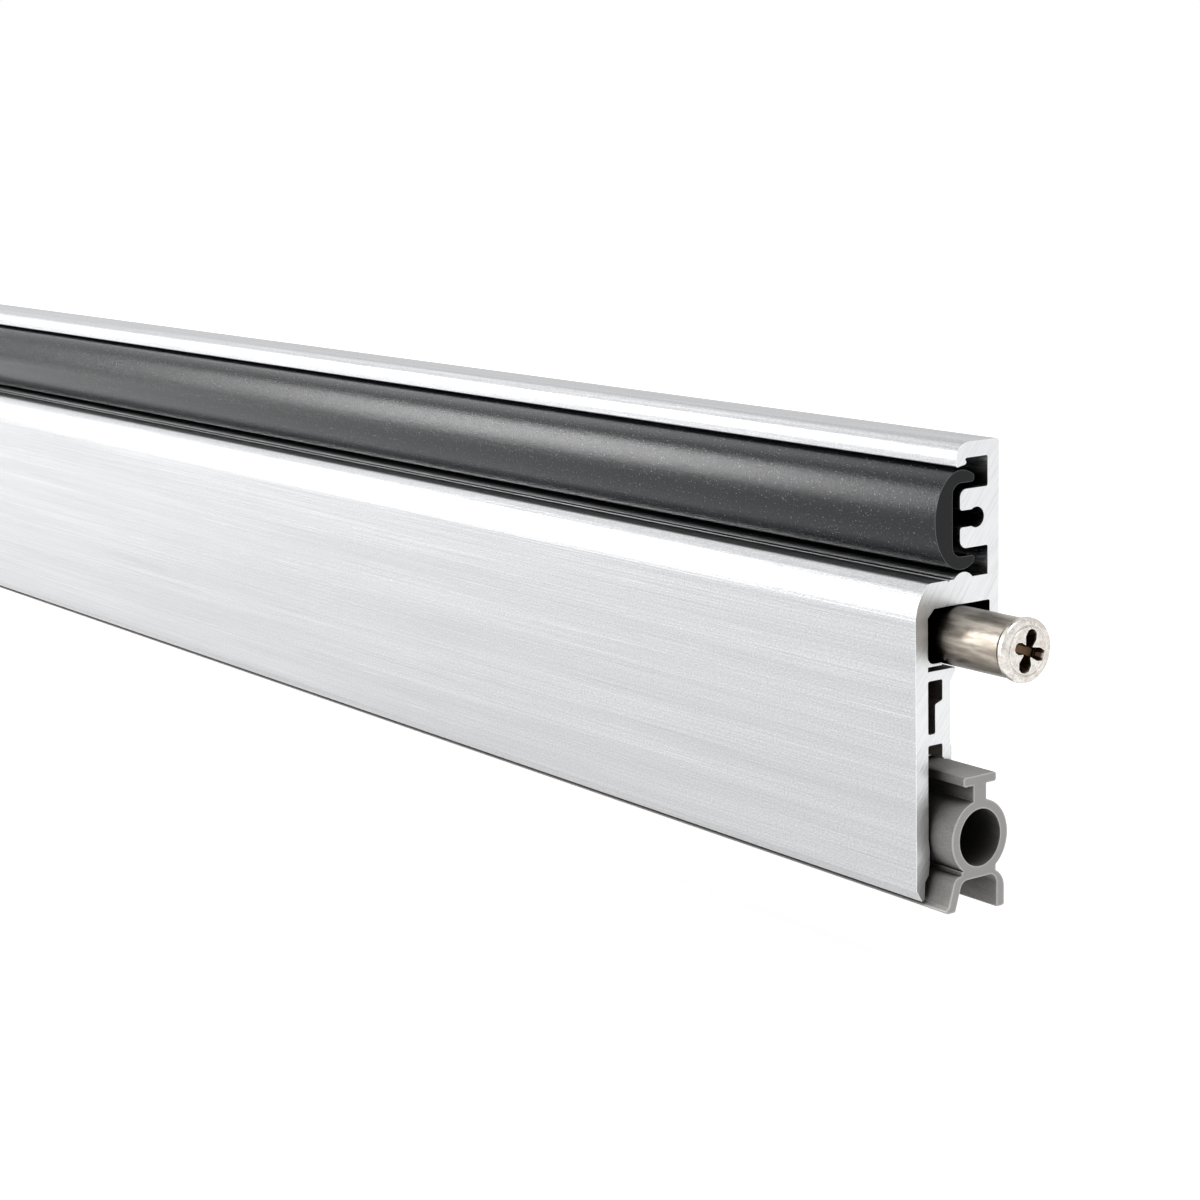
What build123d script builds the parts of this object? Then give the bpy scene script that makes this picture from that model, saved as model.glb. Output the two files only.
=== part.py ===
from build123d import *
from math import radians, sqrt, tan
import os

# Automatic door bottom seal for the face of a door. Pushing the plunger in lowers the seal.
# X runs along the door with the plunger at +X, +Y points at the door, +Z up, in millimetres.
# The origin is the middle of the line of fixing holes, on the face that meets the door.
# Sections are drawn in two coordinates: u, the depth behind the front face, and z, the
# height above the lower edge of the front plate.

# Overall
LENGTH = 335.0

# Housing walls
PLATE = 1.85
BACK = 1.75
SHELF = 3.0
TOP = 1.8
ROUND_SET = 2.1
ROUND_DROP = 4.4
ROUND_BLEND = 0.8
HAUNCH = 1.0
ROOM_SINK = 0.3
ROOM_ROUND = 0.25
EDGE_ROUND = 0.4

# Screw land with its port, the pockets above and below it, and the top lip
LAND = 6.8
LAND_STAND = 4.25
LAND_ROUND = 0.95
UPPER_POCKET = 3.55
LOWER_POCKET = 3.4
PORT_BORE = 2.4
PORT_SLOT = 1.95
PORT_REACH = 2.48
PORT_ROUND = 0.35
LIP = 1.4
LIP_LEAD = 0.6
LIP_DROP = 1.0
LIP_SLOPE = 0.25
LIP_ROUND = 1.95
LIP_EDGE = 0.2
LIP_NIB = 0.25
NIB_STAND = 0.15
BEAD_LAG = 0.5
BEAD_RISE = 0.68
BEAD_RADIUS = 1.7
LINE_LEAD = 0.55
LINE_WIDTH = 0.5
LINE_DEPTH = 0.25

# Hollow ribs behind the front plate, named from below
RIB_ROOM = 2.2
RIB_WALL = 1.2
HOOK_ROOM = 1.9
HOOK_LEAD = 0.3
RIB_FOOT = 1.3
SLIM_ROOM = 1.1
SHOULDER = 0.4
WIDE_HEIGHT = 2.4
RIB_HEAD = 1.1
RIB_FLARE = 0.8
FLARE_DROP = 1.6
GROOVE = 0.55
FIN = 0.3
FIN_ROOT = 0.9

# Lower edge of the front plate
TIP_SET = 0.8
TIP_BEVEL = 1.3
TIP_FLAT = 0.4
TIP_RISE = 0.1
FOOT_SET = 1.3
FOOT_STEP = 2.2
SWELL = 0.2
SWELL_HEIGHT = 5.1
SWELL_REACH = 2.15

# Cover strip
STRIP_FRONT = 2.65
STRIP_GAP = 1.15
STRIP_GRIP = 2.15
STRIP_HALF_DEPTH = 4.0
STRIP_ARM = 1.5
STRIP_INNER_ROUND = 1.3
STRIP_TIP_ROUND = 0.4

# Seal, with the legs measured from its middle
SEAL_SHOW = 1.4
SEAL_REACH = 8.8
BULB = 8.5
BULB_HEIGHT = 9.0
BULB_WALL = 1.1
NECK = 1.95
NECK_REACH = 6.3
HEAD_WIDTH = 4.95
HEAD_HEIGHT = 1.1
HEAD_ROUND = 0.3
ARCH_DROP = 4.7
ARCH_ROUND = 1.1
LEG_DROP = 4.1
LEG = 1.15
WEB_FRONT = 2.8
WEB_BACK = 2.45
WEB_RISE = 0.5
FRONT_LEG = 3.85
FRONT_LEG_LIFT = 0.6
FRONT_LEG_LEAN = 17.0
FRONT_LEG_ROUND = 1.1
BACK_LEG = 3.75
BACK_LEG_ROUND = 2.4
TOE = 0.3
TOE_RISE = 0.25
TOE_HEIGHT = 0.65
FOOT_ROUND = 0.3
SEAL_OVERHANG = 3.6

# Carrier rail
CARRIER_INSET = 5.6
CARRIER_LIP = 1.1
CARRIER_WEB = 0.9
CARRIER_SIDE = 1.4
CARRIER_ROUND = 0.3
HEAD_ROOM = 0.35
NECK_ROOM = 0.3
HORN = 1.0
RIDGE = 1.5
RIDGE_HEIGHT = 2.5

# Plunger: sleeve, adjusting screw and return spring
PLUNGER = 7.0
PLUNGER_SET = 1.15
PLUNGER_SPARE = 1.3
STROKE = 10.0
SLEEVE_HIDDEN = 16.0
SLEEVE_EDGE = 0.2
SCREW_HEAD = 1.15
SCREW_HEAD_SPAN = 7.5
SCREW_HEAD_EDGE = 0.4
SCREW_SHANK = 4.0
SCREW_TIP = 1.0
RECESS_SPAN = 5.2
RECESS_WIDTH = 1.3
RECESS_DEPTH = 1.7
RECESS_ANGLE = 15.0
RECESS_TURN = 19.0
SPRING_ROOM = 24.0
SPRING_OUTER = 6.7
SPRING_WIRE = 0.8
SPRING_TURNS = 6

# Spring seat and thread block
SEAT_LENGTH = 8.0
BLOCK_LENGTH = 12.0
BLOCK_WIDTH = 5.8
BLOCK_FORK = 6.5
BLOCK_RIVET = 1.6
BLOCK_RIVET_PITCH = 3.0
BLOCK_EDGE = 0.4

# Drive bar with its fingers and cam pins
BAR = 1.6
BAR_LIFT = 0.35
BAR_HEIGHT = 5.0
BAR_TAIL = 6.0
FINGER = 5.0
FINGER_EDGE = 1.0
FINGER_ROUND = 1.2
FINGER_FILLET = 1.5
PIN = 2.2
PIN_HEAD = 3.4
PIN_HEAD_HEIGHT = 0.45

# Ramp plates, their rivets and their guides
RAMP_PLATE = 1.4
RAMP_EDGE = 1.8
RAMP_CROWN = 1.1
RAMP_AIR = 0.85
RAMP_ROUND = 2.0
PLATE_RIVET = 1.6
PLATE_RIVET_HEAD = 2.6
PLATE_RIVET_DOME = 0.45
PLATE_RIVET_PITCH = 10.0
GUIDE_WALL = 1.1
GUIDE_JAW = 5.0
LIFT_SPARE = 4.0

# Fixings
HOLE = 4.0
HOLE_SINK = 6.2
HOLE_PITCH = 140.0
HOLE_COUNT = 3
GUIDE_SCREW = 2.2
GUIDE_SCREW_HEAD = 4.4
GUIDE_SCREW_LENGTH = 3.7
GUIDE_SCREW_HOLE = 2.6
GUIDE_SCREW_SUNK = 0.1
GUIDE_SCREW_SLOT = 0.5
GUIDE_SCREW_SLOT_DEPTH = 0.6

# Clearances
AIR = 0.3
SLIDE = 0.2
SHAFT = 0.05
NEST = 0.1

# Heights above the lower edge of the front plate, with the seal up
seal_low = -SEAL_SHOW
seal_mid = seal_low + SEAL_REACH
head_low = seal_mid + NECK_REACH
carrier_low = head_low - CARRIER_LIP
head_roof = head_low + HEAD_HEIGHT + HEAD_ROOM
carrier_top = head_roof + CARRIER_WEB
ridge_top = carrier_top + RIDGE_HEIGHT
finger_low = ridge_top + AIR
pin_mid = finger_low + FINGER_EDGE + PIN / 2
ramp_top = pin_mid + STROKE + PIN / 2 + SLIDE / 2 + RAMP_CROWN
room_top = ramp_top + RAMP_AIR
plunger_mid = room_top - NEST - PLUNGER / 2
room_low = plunger_mid - PLUNGER / 2 - NEST
groove_top = room_low + GROOVE
fin_top = groove_top + FIN
wide_top = room_low - RIB_HEAD
wide_low = wide_top - WIDE_HEIGHT
slim_top = wide_low - SHOULDER
hook_low = carrier_top + AIR
hook_roof = hook_low + HOOK_ROOM
slim_low = hook_roof + RIB_FOOT
shelf_top = room_top + SHELF
bead_top = shelf_top + BEAD_RISE
land_low = shelf_top + LOWER_POCKET
land_top = land_low + LAND
land_mid = (land_low + land_top) / 2
pocket_top = land_top + UPPER_POCKET
lip_low = pocket_top - LIP_DROP
height = pocket_top + TOP
bar_low = room_low + BAR_LIFT
bar_top = bar_low + BAR_HEIGHT

# Depths behind the front face
room_back = PLATE + RIB_ROOM
rib_back = room_back + RIB_WALL
flare_back = rib_back + RIB_FLARE
bar_front = flare_back + AIR
bar_back = bar_front + BAR
ramp_front = bar_back + AIR
ramp_back = ramp_front + RAMP_PLATE
guide_front = ramp_back + AIR
back_in = guide_front + GUIDE_WALL
room_wall = back_in + ROOM_SINK
depth = back_in + BACK
plunger_axis = PLATE + PLUNGER_SET + PLUNGER / 2
seal_axis = PLATE + SWELL + SLIDE + BULB / 2
carrier_front = room_back - AIR - HORN
carrier_back = seal_axis + HEAD_WIDTH / 2 + SLIDE + CARRIER_SIDE
land_front = back_in - LAND_STAND
lip_front = land_front - LIP_LEAD
lip_back = lip_front + LIP
bead_mid = land_front + BEAD_LAG
fin_rise = plunger_mid - fin_top
fin_back = plunger_axis - sqrt(max(0, (PLUNGER / 2 + SLIDE) ** 2 - fin_rise**2))

# Places along the housing, from the plunger's end inwards
end = LENGTH / 2
head_face = end + STROKE + PLUNGER_SPARE
sleeve_out = head_face - SCREW_HEAD - SHAFT
sleeve_in = end - SLEEVE_HIDDEN
seat_out = sleeve_in - SPRING_ROOM
seat_in = seat_out - SEAT_LENGTH
block_out = seat_in - AIR
block_in = block_out - BLOCK_LENGTH
bar_out = block_in + BLOCK_FORK
ramp_half = (STROKE + PIN + SLIDE) / 2 + RAMP_EDGE
jaw_in = ramp_half + SLIDE
jaw_out = jaw_in + GUIDE_JAW
lift_set = block_in - STROKE - LIFT_SPARE - jaw_out
bar_in = -lift_set - jaw_out - BAR_TAIL
lifts = [lift_set, -lift_set]


def across(x):
    """Plane across the housing at x, with local axes u and z."""
    return Plane(origin=(x, -depth, -land_mid), x_dir=(0, 1, 0), z_dir=(1, 0, 0))


def behind(u):
    """Plane along the housing at depth u, with local axes x and z, facing the front."""
    return Plane(origin=(0, u - depth, -land_mid), x_dir=(1, 0, 0), z_dir=(0, -1, 0))


def box(low, high):
    """Rectangle between two opposite corners."""
    centre = Pos((low[0] + high[0]) / 2, (low[1] + high[1]) / 2)
    return centre * Rectangle(high[0] - low[0], high[1] - low[1])


def near(section, points):
    """The section's vertices that lie nearest to the points."""
    found = []
    for u, z in points:
        found.append(min(section.vertices(), key=lambda v: (v.X - u) ** 2 + (v.Y - z) ** 2))
    return found


def rounded(section, points, radius):
    """Section with the corners nearest to the points rounded."""
    return fillet(near(section, points), radius)


def run(section, x_low, x_high):
    """Section drawn in u and z, extruded from x_low to x_high."""
    return extrude(across(x_low) * section, x_high - x_low)


def sheet(outline, u_front, u_back):
    """Outline drawn in x and z, extruded from u_front back to u_back."""
    return extrude(behind(u_back) * outline, u_back - u_front)


def turned(profile, x, u, z):
    """Profile of (along, radius) points, turned about an axis along X through u and z."""
    outline = Polygon(*profile, align=None)
    return Pos(x, u - depth, z - land_mid) * revolve(outline, Axis.X)


def pressed(profile, x, u, z):
    """Profile of (along, radius) points, turned about an axis that points at the door."""
    outline = Polygon(*profile, align=None)
    return Pos(x, u - depth, z - land_mid) * Rot(0, 0, 90) * revolve(outline, Axis.X)


def fixing_places():
    """Places of the fixing holes along the housing."""
    return [(i - (HOLE_COUNT - 1) / 2) * HOLE_PITCH for i in range(HOLE_COUNT)]


def guide_screw_places():
    """Places of the guide screws: one in the spring seat, one in each jaw of the lift guides."""
    jaw = jaw_in + GUIDE_JAW / 2
    in_jaws = [lift + side * jaw for lift in lifts for side in (1, -1)]
    return [(seat_in + seat_out) / 2] + in_jaws


# Housing: front plate with its bevelled foot and swell, under the rounded front edge
def front_plate():
    swell_low = SWELL_HEIGHT - SWELL_REACH
    swell_top = SWELL_HEIGHT + SWELL_REACH
    tip = Polyline((0, TIP_BEVEL), (TIP_SET, 0), (TIP_SET + TIP_FLAT, TIP_RISE))
    foot = Polyline((TIP_SET + TIP_FLAT, TIP_RISE), (FOOT_SET, FOOT_STEP), (PLATE, swell_low))
    swell = ThreePointArc((PLATE, swell_low), (PLATE + SWELL, SWELL_HEIGHT), (PLATE, swell_top))
    inside = Polyline((PLATE, swell_top), (PLATE, room_top), (depth, room_top), (depth, shelf_top))
    shelf = Line((depth, shelf_top), (ROUND_SET, shelf_top))
    edge = TangentArc((0, shelf_top - ROUND_DROP), (ROUND_SET, shelf_top), tangent=(0, 1))
    front = Line((0, shelf_top - ROUND_DROP), (0, TIP_BEVEL))
    haunch = Polygon(
        (PLATE, room_top - HAUNCH), (PLATE + HAUNCH, room_top), (PLATE, room_top), align=None
    )
    section = make_face(tip + foot + swell + inside + shelf + edge + front)
    return rounded(section, [(ROUND_SET, shelf_top)], ROUND_BLEND) + haunch


# Housing: hollow ribs, with the hook channel that opens downward and the groove on top
def ribs():
    block = box((PLATE, hook_low), (rib_back, room_low))
    flare = Polygon(
        (rib_back, room_low - FLARE_DROP),
        (flare_back, room_low - RIB_FLARE / 2),
        (flare_back, room_low),
        (rib_back, room_low),
        align=None,
    )
    fin = box((PLATE, groove_top), (fin_back, fin_top))
    root = box((PLATE, fin_top), (PLATE + FIN_ROOT, fin_top + FIN_ROOT))
    fin += root - Pos(PLATE + FIN_ROOT, fin_top + FIN_ROOT) * Circle(FIN_ROOT)
    lead = Polygon(
        (room_back, hook_low),
        (room_back + HOOK_LEAD, hook_low),
        (room_back, hook_low + HOOK_LEAD),
        align=None,
    )
    hook = box((PLATE, hook_low), (room_back, hook_roof))
    rooms = Polygon(
        (PLATE, slim_low),
        (PLATE + SLIM_ROOM, slim_low),
        (PLATE + SLIM_ROOM, slim_top),
        (room_back, wide_low),
        (room_back, wide_top),
        (PLATE, wide_top),
        align=None,
    )
    rooms = fillet(rooms.vertices(), ROOM_ROUND)
    hook = rounded(hook, [(PLATE, hook_roof), (room_back, hook_roof)], ROOM_ROUND)
    return block + flare + fin - hook - lead - rooms


# Housing: back plate, top lip and the screw land between its two pockets
def upper_half():
    back = box((back_in, fin_top), (depth, height))
    top = box((lip_front, pocket_top), (depth, height))
    lip = Polygon(
        (lip_front, lip_low),
        (lip_back, lip_low + LIP_SLOPE),
        (lip_back, height),
        (lip_front, height),
        align=None,
    )
    land = box((land_front, land_low), (depth, land_top))
    land = rounded(land, [(land_front, land_low), (land_front, land_top)], LAND_ROUND)
    section = back + top + lip + land
    section = rounded(section, [(lip_front, height)], LIP_ROUND)
    section = rounded(section, [(lip_front, lip_low)], LIP_EDGE)
    section = rounded(section, [(depth, height)], EDGE_ROUND)
    inner = [(lip_back, pocket_top), (back_in, pocket_top), (back_in, land_top)]
    section = rounded(section, inner + [(back_in, land_low)], ROOM_ROUND)
    nib = Pos(lip_back + NIB_STAND - LIP_NIB, lip_low + LIP_SLOPE + LIP_NIB) * Circle(LIP_NIB)
    port = Pos(land_front + PORT_REACH, land_mid) * Circle(PORT_BORE / 2)
    slot_low = land_mid - PORT_SLOT / 2
    slot_top = land_mid + PORT_SLOT / 2
    slot = box((land_front, slot_low), (land_front + PORT_REACH, slot_top))
    section = section + nib - port - slot
    return rounded(section, [(land_front, slot_low), (land_front, slot_top)], PORT_ROUND)


def housing():
    bead = Pos(bead_mid, bead_top - BEAD_RADIUS) * Circle(BEAD_RADIUS)
    bead = bead & box((bead_mid - BEAD_RADIUS, shelf_top - LINE_DEPTH), (back_in, bead_top))
    line_mid = bead_mid - BEAD_RADIUS - LINE_LEAD
    line = Polygon(
        (line_mid - LINE_WIDTH / 2, shelf_top),
        (line_mid, shelf_top - LINE_DEPTH),
        (line_mid + LINE_WIDTH / 2, shelf_top),
        align=None,
    )
    sink = box((back_in - ROOM_ROUND, fin_top), (room_wall, room_top))
    sink = rounded(sink, [(room_wall, room_top)], ROOM_ROUND)
    section = front_plate() + ribs() + upper_half() + bead - line - sink
    body = run(section, -end, end)
    sink = (HOLE_SINK - HOLE) / 2
    for x in fixing_places():
        profile = [(0, 0), (0, HOLE_SINK / 2), (sink, HOLE / 2)]
        profile += [(depth - land_front, HOLE / 2), (depth - land_front, 0)]
        body -= pressed(profile, x, land_front, land_mid)
    for x in guide_screw_places():
        sink = (GUIDE_SCREW_HEAD - GUIDE_SCREW_HOLE) / 2 + GUIDE_SCREW_SUNK
        wall = depth - room_wall
        profile = [(0, 0), (0, GUIDE_SCREW_HOLE / 2), (wall - sink, GUIDE_SCREW_HOLE / 2)]
        profile += [(wall, GUIDE_SCREW_HEAD / 2 + GUIDE_SCREW_SUNK), (wall, 0)]
        body -= pressed(profile, x, room_wall, plunger_mid)
    return body


# Cover strip: thick in front, with two arms that grip between the top lip and the bead
def cover_strip():
    low = bead_top + AIR
    top = lip_low - AIR
    middle = (low + top) / 2
    inner_front = land_front - STRIP_GAP
    front = inner_front - STRIP_FRONT
    tip = land_front + STRIP_GRIP
    outer = Pos(front + STRIP_HALF_DEPTH, middle) * Ellipse(STRIP_HALF_DEPTH, (top - low) / 2)
    outer = outer & box((front, low), (tip, top))
    inner = box((inner_front, low + STRIP_ARM), (tip, top - STRIP_ARM))
    corners = [(inner_front, low), (inner_front, top)]
    section = outer - rounded(inner, corners, STRIP_INNER_ROUND)
    tips = [v for v in section.vertices() if abs(v.X - tip) < STRIP_TIP_ROUND]
    return run(fillet(tips, STRIP_TIP_ROUND), -end, end)


# Seal's legs: the front one leans out and ends in a toe, the back one stands upright
def legs():
    roof = seal_mid - ARCH_DROP
    crown = seal_mid - LEG_DROP
    foot = seal_low + FRONT_LEG_LIFT
    lean = tan(radians(FRONT_LEG_LEAN))
    front_out = FRONT_LEG + LEG
    shoulder = (lean * (crown - foot) - front_out, crown)
    outer = Polygon(
        (-front_out, foot),
        (0, foot),
        (0, seal_low),
        (BACK_LEG, seal_low),
        (BACK_LEG, crown),
        shoulder,
        align=None,
    )
    outer = rounded(outer, [shoulder], FRONT_LEG_ROUND)
    outer = rounded(outer, [(BACK_LEG, crown)], BACK_LEG_ROUND)
    outer = rounded(outer, [(BACK_LEG, seal_low)], FOOT_ROUND)
    corners = [(BACK_LEG - LEG, roof), (lean * (roof - foot) - FRONT_LEG, roof)]
    inner = Polygon(
        (lean * (seal_low - foot) - FRONT_LEG, seal_low),
        (BACK_LEG - LEG, seal_low),
        *corners,
        align=None,
    )
    inner = rounded(inner, corners, ARCH_ROUND)
    toe = Polygon(
        (-FRONT_LEG - LEG / 2, foot),
        (lean * TOE_HEIGHT - front_out, foot + TOE_HEIGHT),
        (-front_out - TOE, foot + TOE_RISE),
        align=None,
    )
    return outer - inner + toe


# Seal: head, neck, bulb with its bore, and the two legs that meet the floor
def seal_strip():
    head = box((-HEAD_WIDTH / 2, head_low), (HEAD_WIDTH / 2, head_low + HEAD_HEIGHT))
    head = fillet(head.vertices(), HEAD_ROUND)
    neck = box((-NECK / 2, seal_mid), (NECK / 2, head_low + HEAD_HEIGHT / 2))
    bulb = Pos(0, seal_mid) * Ellipse(BULB / 2, BULB_HEIGHT / 2)
    bore = Pos(0, seal_mid) * Ellipse(BULB / 2 - BULB_WALL, BULB_HEIGHT / 2 - BULB_WALL)
    crown = seal_mid - LEG_DROP
    web = box((-WEB_FRONT, crown - LEG / 4), (WEB_BACK, crown + WEB_RISE))
    section = head + neck + bulb + web + legs() - bore
    return run(Pos(seal_axis, 0) * section, -end - SEAL_OVERHANG, end + SEAL_OVERHANG)


# Carrier rail: slot for the seal's head, horn that enters the hook channel, ridge for the lifts
def carrier_rail():
    body = box((carrier_front, carrier_low), (carrier_back, carrier_top))
    horn = box((carrier_front, carrier_low), (carrier_front + HORN, hook_roof - AIR))
    ridge = box((ramp_front - RIDGE, head_roof), (ramp_front, ridge_top))
    slot_half = HEAD_WIDTH / 2 + SLIDE
    slot = box((seal_axis - slot_half, head_low), (seal_axis + slot_half, head_roof))
    mouth_half = NECK / 2 + NECK_ROOM
    mouth = box((seal_axis - mouth_half, carrier_low), (seal_axis + mouth_half, head_low))
    section = body + horn + ridge - slot - mouth
    corners = [(carrier_front, carrier_low), (carrier_back, carrier_low)]
    corners += [(carrier_back, carrier_top), (carrier_front, hook_roof - AIR)]
    section = rounded(section, corners, CARRIER_ROUND)
    return run(section, -end + CARRIER_INSET, end - CARRIER_INSET)


# Plunger: sleeve between the spring and the head of the adjusting screw
def plunger_sleeve():
    length = sleeve_out - sleeve_in
    bore = SCREW_SHANK / 2 + SHAFT
    profile = [(0, bore), (0, PLUNGER / 2 - SLEEVE_EDGE), (SLEEVE_EDGE, PLUNGER / 2)]
    profile += [(length - SLEEVE_EDGE, PLUNGER / 2), (length, PLUNGER / 2 - SLEEVE_EDGE)]
    profile += [(length, bore)]
    return turned(profile, sleeve_in, plunger_axis, plunger_mid)


# Adjusting screw: its shank runs through sleeve, spring and seat into the thread block
def adjusting_screw():
    length = head_face - bar_out - SCREW_TIP
    shank = SCREW_SHANK / 2
    neck = length - SCREW_HEAD
    profile = [(0, 0), (0, shank - SCREW_TIP / 2), (SCREW_TIP / 2, shank), (neck, shank)]
    rim = SCREW_HEAD_SPAN / 2
    profile += [(neck, rim - SLEEVE_EDGE), (neck + SLEEVE_EDGE, rim)]
    profile += [(length - SCREW_HEAD_EDGE, rim), (length, rim - SCREW_HEAD_EDGE)]
    profile += [(length, 0)]
    body = turned(profile, head_face - length, plunger_axis, plunger_mid)
    cross = SlotOverall(RECESS_SPAN, RECESS_WIDTH) + Rot(0, 0, 90) * SlotOverall(
        RECESS_SPAN, RECESS_WIDTH
    )
    face = across(head_face) * Pos(plunger_axis, plunger_mid) * Rot(0, 0, -RECESS_TURN)
    return body - extrude(face * cross, -RECESS_DEPTH, taper=RECESS_ANGLE)


# Return spring: round wire between the spring seat and the sleeve
def return_spring():
    length = SPRING_ROOM - SPRING_WIRE - 2 * SHAFT
    mean = (SPRING_OUTER - SPRING_WIRE) / 2
    coil = Helix(length / SPRING_TURNS, length, mean)
    wire = sweep(Plane(coil @ 0, z_dir=coil % 0) * Circle(SPRING_WIRE / 2), coil, is_frenet=True)
    place = Pos(seat_out + SHAFT + SPRING_WIRE / 2, plunger_axis - depth, plunger_mid - land_mid)
    return place * Rot(0, 90, 0) * wire


def room_plug():
    """Section that fills the plunger room, clear of its walls, and rests on the back plate."""
    plug = box((PLATE + NEST, fin_top + NEST), (room_wall, room_top - NEST))
    corner = near(plug, [(PLATE + NEST, room_top - NEST)])
    plug = chamfer(corner, HAUNCH)
    plug = rounded(plug, [(room_wall, room_top - NEST)], ROOM_ROUND)
    return rounded(plug, [(PLATE + NEST, fin_top + NEST)], FIN_ROOT)


# Spring seat: block in the plunger room that guides the screw
def spring_seat():
    section = room_plug() + box((flare_back, room_low + NEST), (back_in, fin_top + 2 * NEST))
    bore = Pos(plunger_axis, plunger_mid) * Circle(SCREW_SHANK / 2 + SHAFT)
    body = run(section - bore, seat_in, seat_out)
    return body - guide_screw_bore(guide_screw_places()[0])


# Thread block: forked over the end of the drive bar
def thread_block():
    half = plunger_mid - fin_top - AIR
    side = BLOCK_WIDTH / 2
    section = box(
        (plunger_axis - side, plunger_mid - half), (plunger_axis + side, plunger_mid + half)
    )
    section = chamfer(section.vertices(), BLOCK_EDGE)
    body = run(section, block_in, block_out)
    body -= run(box((bar_front, bar_low - half), (bar_back, bar_top + half)), block_in, bar_out)
    bore = Pos(plunger_axis, plunger_mid) * Circle(SCREW_SHANK / 2 + SHAFT)
    body -= run(bore, bar_out, block_out)
    for x in block_rivet_places():
        body -= block_rivet(x)
    return body


def block_rivet_places():
    middle = (block_in + bar_out) / 2
    return [middle + side * BLOCK_RIVET_PITCH / 2 for side in (1, -1)]


def block_rivet(x):
    """Rivet across the fork and the drive bar."""
    z = (plunger_mid - (plunger_mid - fin_top - AIR) + bar_top) / 2
    side = BLOCK_WIDTH / 2
    return sheet(Pos(x, z) * Circle(BLOCK_RIVET / 2), plunger_axis - side, plunger_axis + side)


# Drive bar: one stamped strip with a finger that hangs down at each lift
def drive_bar():
    outline = box((bar_in, bar_low), (bar_out, bar_top))
    for lift in lifts:
        x = lift + STROKE / 2
        finger = box((x - FINGER / 2, finger_low), (x + FINGER / 2, bar_low + BAR_HEIGHT / 2))
        tips = [(x - FINGER / 2, finger_low), (x + FINGER / 2, finger_low)]
        outline += rounded(finger, tips, FINGER_ROUND)
        roots = [(x - FINGER / 2, bar_low), (x + FINGER / 2, bar_low)]
        outline = rounded(outline, roots, FINGER_FILLET)
    body = sheet(outline, bar_front, bar_back)
    for x in block_rivet_places():
        body -= block_rivet(x)
    for lift in lifts:
        body -= sheet(Pos(lift + STROKE / 2, pin_mid) * Circle(PIN / 2), bar_front, bar_back)
    return body


# Cam pin: riveted in a finger, it runs in the ramp plate's slot
def cam_pin(lift):
    profile = [(-PIN_HEAD_HEIGHT, 0), (-PIN_HEAD_HEIGHT, PIN_HEAD / 2), (0, PIN_HEAD / 2)]
    profile += [(0, PIN / 2), (ramp_back - bar_front, PIN / 2), (ramp_back - bar_front, 0)]
    return pressed(profile, lift + STROKE / 2, bar_front, pin_mid)


# Ramp plate: stands on the carrier, its slot turns the bar's travel into the drop
def ramp_plate(lift):
    outline = box((lift - ramp_half, carrier_top), (lift + ramp_half, ramp_top))
    tops = [(lift - ramp_half, ramp_top), (lift + ramp_half, ramp_top)]
    outline = rounded(outline, tops, RAMP_ROUND)
    slot = SlotCenterToCenter(STROKE * sqrt(2), PIN + SLIDE)
    outline -= Pos(lift, pin_mid + STROKE / 2) * Rot(0, 0, -45) * slot
    body = sheet(outline, ramp_front, ramp_back)
    for x in plate_rivet_places(lift):
        body -= plate_rivet_hole(x)
    return body


def plate_rivet_places(lift):
    return [lift + side * PLATE_RIVET_PITCH / 2 for side in (1, -1)]


def plate_rivet_hole(x):
    z = carrier_top + RIDGE_HEIGHT / 2
    return sheet(Pos(x, z) * Circle(PLATE_RIVET / 2), ramp_front - RIDGE, ramp_back)


# Plate rivet: its domes hold the ramp plate against the carrier's ridge
def plate_rivet(x):
    z = carrier_top + RIDGE_HEIGHT / 2
    grip = RIDGE + RAMP_PLATE
    profile = [(-PLATE_RIVET_DOME, 0), (-PLATE_RIVET_DOME, PLATE_RIVET_HEAD / 4)]
    profile += [(0, PLATE_RIVET_HEAD / 2), (0, PLATE_RIVET / 2), (grip, PLATE_RIVET / 2)]
    profile += [(grip, PLATE_RIVET_HEAD / 2), (grip + PLATE_RIVET_DOME, PLATE_RIVET_HEAD / 4)]
    profile += [(grip + PLATE_RIVET_DOME, 0)]
    return pressed(profile, x, ramp_front - RIDGE, z)


# Lift guide: two jaws beside the ramp plate, joined behind it, with a saddle over the bar
def lift_guide(index):
    lift = lifts[index]
    leg = box((ramp_front + AIR, hook_low), (back_in, room_top - NEST))
    jaw = room_plug() + leg
    jaw -= box((bar_front - AIR, hook_low), (ramp_front + AIR, bar_top + AIR))
    wall_low = carrier_top + RIDGE_HEIGHT / 2 + PLATE_RIVET_HEAD / 2 + AIR
    wall = box((guide_front, wall_low), (back_in, room_top - NEST))
    body = run(jaw, lift + jaw_in, lift + jaw_out)
    body += run(jaw, lift - jaw_out, lift - jaw_in)
    body += run(wall, lift - jaw_in, lift + jaw_in)
    screws = guide_screw_places()[1 + 2 * index : 3 + 2 * index]
    for x in screws:
        body -= guide_screw_bore(x)
    return body


def guide_screw_bore(x):
    """Pilot hole for a guide screw, a little deeper than its point."""
    deep = depth - GUIDE_SCREW_LENGTH - 2 * GUIDE_SCREW_SUNK
    return sheet(Pos(x, plunger_mid) * Circle(GUIDE_SCREW / 2), deep, room_wall)


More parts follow.
